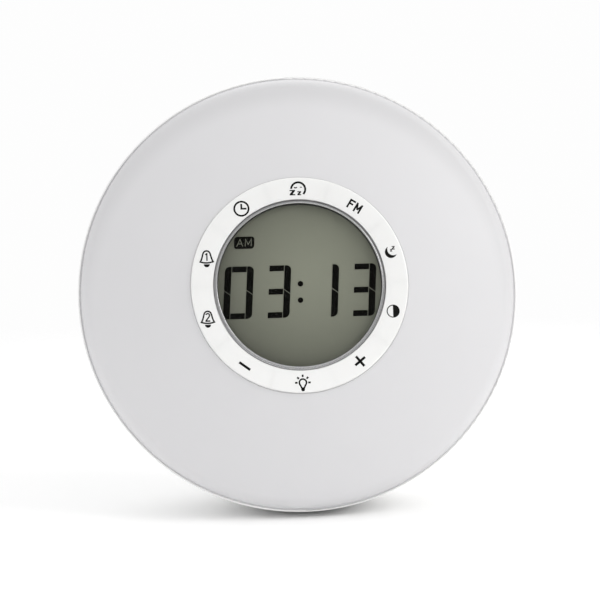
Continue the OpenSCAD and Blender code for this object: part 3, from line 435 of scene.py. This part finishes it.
class Plate:
    """Flat shapes on the face, drawn in their own u, v and raised between two heights."""

    def __init__(self, name, mat, body, slot, low, high):
        self.name, self.mat, self.body, self.slot, self.low, self.high = name, mat, body, slot, low, high
        self.bm = bmesh.new()
        self.shift = Matrix.Identity(3)

    def put(self, u, v, turn=0.0, scale=1.0, slant=0.0):
        """Later shapes are drawn about (u, v): slanted, scaled and turned."""
        c, s = math.cos(math.radians(turn)) * scale, math.sin(math.radians(turn)) * scale
        self.shift = Matrix(((c, -s + slant * c, u), (s, c + slant * s, v), (0, 0, 1)))

    def raised(self, x, y):
        """The lower and the upper vertex over a point."""
        p = self.shift @ Vector((x, y, 1))
        return [self.bm.verts.new(place(p.x, p.y, w)) for w in (self.low, self.high)]

    def add(self, outline):
        """A filled shape inside an outline that doesn't cross itself."""
        pairs = [self.raised(x, y) for x, y in outline]
        bottom = self.bm.faces.new([low for low, high in pairs][::-1])
        top = self.bm.faces.new([high for low, high in pairs])
        for one, two in zip(pairs, pairs[1:] + pairs[:1]):
            self.bm.faces.new((one[0], two[0], two[1], one[1]))
        bmesh.ops.triangulate(self.bm, faces=[bottom, top])

    def box(self, x0, y0, x1, y1):
        """A filled rectangle between two corners."""
        self.add([(x0, y0), (x1, y0), (x1, y1), (x0, y1)])

    def strip(self, pairs):
        """Quads between pairs of rows of four vertices: lower left, upper left, lower right, upper right."""
        for (ll, lh, rl, rh), (ml, mh, sl, sh) in pairs:
            for face in ((ll, rl, sl, ml), (lh, mh, sh, rh), (ll, ml, mh, lh), (rl, rh, sh, sl)):
                self.bm.faces.new(face)

    def ribbon(self, points, width, closed=False):
        """A line of some width along points, as one strip of quads with square ends, or a closed loop."""
        last = len(points) - 1
        rows = []
        for i, (x, y) in enumerate(points):
            before = points[i - 1] if (i or closed) else None
            after = points[(i + 1) % len(points)] if (i < last or closed) else None
            steps = []
            if before:
                steps.append(Vector((x - before[0], y - before[1])).normalized())
            if after:
                steps.append(Vector((after[0] - x, after[1] - y)).normalized())
            along = sum(steps, Vector((0, 0))).normalized()
            half = width / 2 / max(CORNER_LEAST, along.dot(steps[0]))
            rows.append(self.raised(x - along.y * half, y + along.x * half)
                        + self.raised(x + along.y * half, y - along.x * half))
        self.strip(zip(rows, rows[1:] + rows[:1] if closed else rows[1:]))
        if not closed:
            for ll, lh, rl, rh in (rows[0], rows[-1]):
                self.bm.faces.new((ll, lh, rh, rl))

    def between(self, one, two):
        """The space between two lines of as many points, which meet at their ends."""
        rows = [self.raised(*a) + self.raised(*b) for a, b in zip(one, two)]
        self.strip(zip(rows, rows[1:]))
        bmesh.ops.remove_doubles(self.bm, verts=self.bm.verts, dist=MELD)

    def ring(self, cx, cy, r, width):
        """A round line."""
        self.ribbon(circle(cx, cy, r, RING_SIDES), width, closed=True)

    def done(self, *stands_for):
        """Makes the piece, after the last shape."""
        finish_piece(self.bm, self.name, self.mat, self.body, self.slot, *stands_for)


def zed(plate, cx, cy, w, h, bar, slope):
    """The letter z of a sleeper's breath: two level bars joined by a thick slope."""
    left, right, low, high = cx - w / 2, cx + w / 2, cy - h / 2, cy + h / 2
    plate.add([(left, high - bar), (right - slope, high - bar), (left, low + bar), (left, low),
               (right, low), (right, low + bar), (left + slope, low + bar), (right, high - bar),
               (right, high), (left, high)])


# ---------------------------------------------------------------- printed symbols on the keys
# Symbols are drawn in units of PX millimetres about their own middle. Their ink stands INK_T proud of the key
# and starts INK_SINK below its face
INK_SINK, INK_T = 0.004, 0.02
INK_LOW, INK_HIGH = KEY_TOP_W - INK_SINK, KEY_TOP_W + INK_T
PX = 0.4


def draw_snooze(p):
    """A sleeping face: its outline with a gap, two closed eyes, and two letters z."""
    p.ribbon(arc(0.35, -1.3, 7.1, 175, -45, 48), 2.0)
    p.ribbon(arc(-2.3, 2.1, 1.9, 222, 318, 12), 1.2)
    p.ribbon(arc(3.2, 1.9, 1.3, 222, 318, 12), 0.8)
    zed(p, -5.6, -4.6, 5.5, 5.5, 1.15, 2.9)
    zed(p, 1.3, -5.4, 3.8, 4.1, 1.0, 2.2)


def draw_radio(p):
    """The letters F and M: half their height, their stroke, and where their uprights stand."""
    tall, bold, stem, left, far = 4.9, 1.8, -6.4, 1.2, 6.4
    p.box(stem - bold / 2, -tall, stem + bold / 2, tall)
    p.box(stem + bold / 2, tall - bold, -1.0, tall)
    p.box(stem + bold / 2, -0.5, -2.2, bold - 0.5)
    p.box(left - bold / 2, -tall, left + bold / 2, tall)
    p.box(far - bold / 2, -tall, far + bold / 2, tall)
    dip = (left + far) / 2
    p.ribbon([(left, tall - 0.7), (dip, -1.9)], bold * 0.95)
    p.ribbon([(far, tall - 0.7), (dip, -1.9)], bold * 0.95)


def draw_sleep(p):
    """A crescent moon with two letters z."""
    outer, inner = arc(0, 0.2, 6.1, 120.3, 336.8, 48), arc(2.25, 2.75, 5.9, 153.5, 303.6, 48)
    p.between(outer, [outer[0]] + inner[1:-1] + [outer[-1]])
    zed(p, 0.2, 1.9, 2.1, 2.5, 0.7, 1.2)
    zed(p, 2.4, 4.4, 3.0, 3.5, 0.9, 1.6)


def draw_contrast(p):
    """A round line with its right half filled."""
    p.ring(0.3, 0, 6.05, 0.95)
    p.add(arc(0.2, 0, 6.1, -90, 90, 40))


def draw_plus(p):
    """A plus sign."""
    p.box(-6.4, -1.22, 6.4, 1.22)
    p.box(-1.22, -6.4, 1.22, 6.4)


def draw_light(p):
    """A lit bulb: its outline, its cap and five rays."""
    globe = arc(0, -0.9, 3.55, -42, 222, 44)
    p.ribbon([(1.35, -6.1), (1.8, -5.0)] + globe + [(-1.8, -5.0), (-1.35, -6.1)], 1.6)
    p.add([(-1.9, -5.6), (-1.8, -8.3), (-1.0, -9.5), (1.0, -9.5), (1.8, -8.3), (1.9, -5.6)])
    for angle, near, far in ((90, 5.6, 8.0), (135, 5.4, 7.8), (45, 5.4, 7.8), (180, 5.3, 7.8), (0, 5.3, 7.8)):
        c, s = math.cos(math.radians(angle)), math.sin(math.radians(angle))
        p.ribbon([(c * near, s * near - 0.9), (c * far, s * far - 0.9)], 1.8)


def draw_minus(p):
    """A minus sign."""
    p.box(-6.6, -1.25, 6.6, 1.25)


def draw_bell(p):
    """A bell's outline over its clapper."""
    side = [(0, 6.85), (1.7, 6.45), (2.9, 5.4), (3.6, 4.0), (4.2, 1.6), (4.9, -0.9), (5.6, -2.7), (6.5, -4.2),
            (4.2, -4.9), (2.1, -5.25), (0, -5.35)]
    p.ribbon(side + [(-x, y) for x, y in side[-2:0:-1]], 1.5, closed=True)
    p.add(arc(0, -6.75, 3.0, 180, 360, 24))


def draw_alarm_2(p):
    """A bell with a 2 in it."""
    draw_bell(p)
    p.ribbon(arc(0, 2.7, 1.8, 165, -35, 20) + [(0.7, 0.4), (-0.8, -1.4), (-1.7, -2.7)], 1.3)
    p.box(-2.4, -3.7, 2.4, -2.35)


def draw_alarm_1(p):
    """A bell with a 1 in it."""
    draw_bell(p)
    p.box(-0.35, -3.2, 0.95, 4.7)
    p.ribbon([(0.2, 4.2), (-1.4, 2.8)], 1.1)


def draw_clock(p):
    """A round dial with two hands."""
    p.ring(0, 0, 7.2, 1.8)
    p.box(-0.95, -0.9, 0.8, 4.9)
    p.box(0.8, -0.9, 5.1, 0.8)


# Each symbol's drawing, its middle on the face in millimetres, and its turn in degrees
SYMBOLS = {"snooze": (draw_snooze, 0.5, 39.2, 0), "radio": (draw_radio, 23.18, 31.08, -33),
           "sleep": (draw_sleep, 37.07, 11.98, 0), "contrast": (draw_contrast, 36.88, -11.9, 0),
           "plus": (draw_plus, 23.0, -31.62, -51), "light": (draw_light, -0.12, -39.13, 0),
           "minus": (draw_minus, -23.03, -32.18, -37), "alarm_2": (draw_alarm_2, -37.15, -12.53, 0),
           "alarm_1": (draw_alarm_1, -36.95, 11.85, 0), "clock": (draw_clock, -22.44, 31.34, 0)}
for key, (draw, u, v, turn) in SYMBOLS.items():
    plate = Plate("symbol_" + key, key_ink, key + "_key", "segment_black", INK_LOW, INK_HIGH)
    plate.put(u, v, turn, PX)
    draw(plate)
    plate.done()

# ---------------------------------------------------------------- display segments
# A digit's width and height, its strokes' widths, and the middles of the four digits with their lit segments:
# a is the top, then clockwise to f, and g is the middle
DIGIT_WIDE, DIGIT_TALL, UPRIGHT_WIDE, LEVEL_TALL = 11.6, 21.2, 2.65, 2.3
DIGITS = [(-24.61, -2.36), (-9.6, -2.34), (9.72, -2.46), (24.68, -2.53)]
LIT = ["abcdef", "abgcd", "bc", "abgcd"]
SLANT = math.tan(math.radians(4))
# The upper and the lower upright part at a sloping gap, and a level segment keeps BAR_GAP from its uprights
SPLIT = math.tan(math.radians(36))
SPLIT_GAP, BAR_GAP, CORNER_R, CORNER_STEPS = 0.35, 0.25, 2.0, 8


def upright(side, top):
    """Half an upright, with side and top each 1 or -1: its far outer corner is round, its near end sloped."""
    x_out, x_in = side * DIGIT_WIDE / 2, side * (DIGIT_WIDE / 2 - UPRIGHT_WIDE)
    x_mid = (x_out + x_in) / 2
    y_end = top * DIGIT_TALL / 2
    corner = [(x_out - side * CORNER_R * (1 - x), y_end - top * CORNER_R * (1 - y))
              for x, y in arc(0, 0, 1, 0, 90, CORNER_STEPS)]
    near = [(x, top * SPLIT_GAP / 2 - (x - x_mid) * SPLIT) for x in (x_in, x_out)]
    return near + corner + [(x_in, y_end)]


def level(y):
    """A level segment at a height."""
    half, low, high = DIGIT_WIDE / 2 - UPRIGHT_WIDE - BAR_GAP, y - LEVEL_TALL / 2, y + LEVEL_TALL / 2
    return [(-half, low), (half, low), (half, high), (-half, high)]


top_level = DIGIT_TALL / 2 - LEVEL_TALL / 2
SHAPES = {"a": level(top_level), "g": level(0), "d": level(-top_level),
          "b": upright(1, 1), "c": upright(1, -1), "f": upright(-1, 1), "e": upright(-1, -1)}
digits = Plate("lcd_digits", segment_black, "clock_body", "segment_black", LCD_TOP_W, LCD_TOP_W + SEGMENT_T)
for (u, v), lit in zip(DIGITS, LIT):
    digits.put(u, v, slant=SLANT)
    for segment in lit:
        digits.add(SHAPES[segment])

# The colon's two dots, and the badge: a filled field with rounded corners above the first digits
COLON = [(0.38, 0.6), (0.16, -6.05)]
COLON_R, COLON_SIDES = 1.1, 48
for u, v in COLON:
    digits.put(u, v)
    digits.add(circle(0, 0, COLON_R, COLON_SIDES))
BADGE, BADGE_WIDE, BADGE_TALL, BADGE_R, BADGE_STEPS = (-21.7, 17.88), 8.1, 4.9, 1.2, 8
digits.put(*BADGE, slant=SLANT)
badge = []
for cx, cy, start in ((1, 1, 0), (-1, 1, 90), (-1, -1, 180), (1, -1, 270)):
    corner_u, corner_v = cx * (BADGE_WIDE / 2 - BADGE_R), cy * (BADGE_TALL / 2 - BADGE_R)
    badge += arc(corner_u, corner_v, BADGE_R, start, start + 90, BADGE_STEPS)
digits.add(badge)
digits.done("lcd_segments")

# The two letters in the badge, generic for a morning hour, as strokes between corners of a unit box
BADGE_TOP_W = LCD_TOP_W + SEGMENT_T
LETTER_TALL, LETTER_WIDE, LETTER_THICK, LETTER_RISE = 3.0, 2.4, 0.3, 0.01
letters = Plate("badge_letters", lcd_glass, "clock_body", "lcd_glass", BADGE_TOP_W, BADGE_TOP_W + LETTER_RISE)
letters.put(*BADGE, slant=SLANT)
LETTERS = [(-1.75, [[(-0.5, -0.5), (0, 0.5), (0.5, -0.5)], [(-0.32, -0.15), (0.32, -0.15)]]),
           (1.65, [[(-0.5, -0.5), (-0.5, 0.5), (0, -0.25), (0.5, 0.5), (0.5, -0.5)]])]
for cx, strokes in LETTERS:
    for line in strokes:
        letters.ribbon([(cx + x * LETTER_WIDE, y * LETTER_TALL) for x, y in line], LETTER_THICK)
letters.done()

# ---------------------------------------------------------------- floor, light and camera
bpy.context.scene.view_settings.view_transform = "Standard"
FLOOR_HALF, FLOOR_SOLID_R, FLOOR_END_R = 0.7, 0.2, 0.65


def stage_floor():
    """A plain pale floor that fades into the pale backdrop."""
    mesh = bpy.data.meshes.new("floor")
    corners = [(x * FLOOR_HALF, y * FLOOR_HALF, 0) for x, y in ((-1, -1), (1, -1), (1, 1), (-1, 1))]
    mesh.from_pydata(corners, [], [(0, 1, 2, 3)])
    obj = bpy.data.objects.new("floor", mesh)
    bpy.context.scene.collection.objects.link(obj)
    mat = surface("floor_paper", (0.96, 0.96, 0.96), 0.8, patch=3, grain=200, depth=0.0,
                  tint=(0.95, 0.95, 0.95), specular=0.0)
    tree = mat.node_tree
    fade = smooth_step(tree, distance_from(tree, (0, 0, 0)), FLOOR_SOLID_R, FLOOR_END_R, 1.0, 0.0)
    tree.links.new(fade, tree.nodes["Principled BSDF"].inputs["Alpha"])
    wear(obj, mat)


def softbox(name, place_at, aim_at, width, height, power, colour):
    """A rectangular lamp that faces a point, with its power in watts."""
    light = bpy.data.lights.new(name, "AREA")
    light.shape = "RECTANGLE"
    light.size, light.size_y, light.energy, light.color = width, height, power, colour
    obj = bpy.data.objects.new(name, light)
    obj.location = place_at
    obj.rotation_euler = (Vector(aim_at) - Vector(place_at)).to_track_quat("-Z", "Y").to_euler()
    bpy.context.scene.collection.objects.link(obj)


stage_floor()
CLOCK, GROUND = (0, 0, 0.09), (0, 0, 0)
WHITE, WARM = (1, 1, 1), (1, 0.99, 0.97)
softbox("key_light", (0.25, -0.75, 1.0), CLOCK, 0.6, 0.5, 0.5, WHITE)
softbox("front_light", (0.0, -0.95, 0.2), CLOCK, 0.5, 0.2, 0.6, WHITE)
softbox("right_light", (1.05, -0.45, 0.8), CLOCK, 0.7, 0.7, 6.3, WARM)
softbox("back_light", (0.0, 0.75, 1.0), GROUND, 0.6, 0.6, 2.2, WHITE)

# The room's light varies with the direction it comes from: to the right, to either side and upwards. Where
# that direction's upward part is below LOW_TO, it falls, to LOW_LIGHT of that light at LOW_FROM
BACKDROP = 0.985
ROOM, ROOM_RIGHT, ROOM_SIDES, ROOM_HIGH = 0.52, -0.12, 0.97, 0.35
LOW_LIGHT, LOW_FROM, LOW_TO = 0.7, 0.1, 0.35


def studio():
    """A plain backdrop to look at, and a soft room that gives light and is dim near the ground."""
    world = bpy.data.worlds.new("studio")
    bpy.context.scene.world = world
    world.use_nodes = True
    tree = world.node_tree
    light = tree.nodes["Background"]
    light.inputs["Color"].default_value = (*WHITE, 1)
    where = tree.nodes.new("ShaderNodeTexCoord")
    split = tree.nodes.new("ShaderNodeSeparateXYZ")
    tree.links.new(where.outputs["Generated"], split.inputs["Vector"])
    x, z = split.outputs["X"], split.outputs["Z"]
    room = reckon(tree, "MULTIPLY_ADD", x, ROOM_RIGHT, ROOM)
    room = reckon(tree, "MULTIPLY_ADD", reckon(tree, "MULTIPLY", x, x), ROOM_SIDES, room)
    room = reckon(tree, "MULTIPLY_ADD", reckon(tree, "MULTIPLY", z, z), ROOM_HIGH, room)
    room = reckon(tree, "MULTIPLY", room, smooth_step(tree, z, LOW_FROM, LOW_TO, LOW_LIGHT, 1.0))
    ray = tree.nodes.new("ShaderNodeLightPath")
    pick = tree.nodes.new("ShaderNodeMix")
    pick.inputs["B"].default_value = BACKDROP
    tree.links.new(ray.outputs["Is Camera Ray"], pick.inputs["Factor"])
    tree.links.new(room, pick.inputs["A"])
    tree.links.new(pick.outputs["Result"], light.inputs["Strength"])


studio()

# The camera stands DISTANCE from TARGET, which lands TARGET_PX from the middle of a picture FRAME_PX wide
AZIMUTH, ELEVATION, ROLL = math.radians(-2.286), math.radians(6.066), math.radians(-1.4)
DISTANCE, FOCAL_PX, FRAME_PX = 0.8, 1948.1, 600
TARGET = Vector((0, -0.025, 0.09))
TARGET_PX = Vector((-2.017, -9.231))
SENSOR_MM, CLIP_START = 36, 0.01


def photo_camera():
    """A long lens at the photograph's angle, aimed so that nothing needs to be shifted."""
    back = Vector((math.sin(AZIMUTH) * math.cos(ELEVATION), -math.cos(AZIMUTH) * math.cos(ELEVATION),
                   math.sin(ELEVATION)))
    right = (-back).cross(Vector((0, 0, 1))).normalized()
    up = right.cross(-back)
    right, up = right * math.cos(ROLL) + up * math.sin(ROLL), up * math.cos(ROLL) - right * math.sin(ROLL)
    ahead = (-back - right * TARGET_PX.x / FOCAL_PX + up * TARGET_PX.y / FOCAL_PX).normalized()
    side = ahead.cross(up).normalized()
    above = side.cross(ahead)
    lens = bpy.data.cameras.new("camera")
    lens.sensor_width = SENSOR_MM
    lens.lens = FOCAL_PX * SENSOR_MM / FRAME_PX
    lens.clip_start = CLIP_START
    camera = bpy.data.objects.new("camera", lens)
    turn = Matrix((side, above, -ahead)).transposed().to_4x4()
    camera.matrix_world = Matrix.Translation(TARGET + back * DISTANCE) @ turn
    bpy.context.scene.collection.objects.link(camera)
    bpy.context.scene.camera = camera


photo_camera()
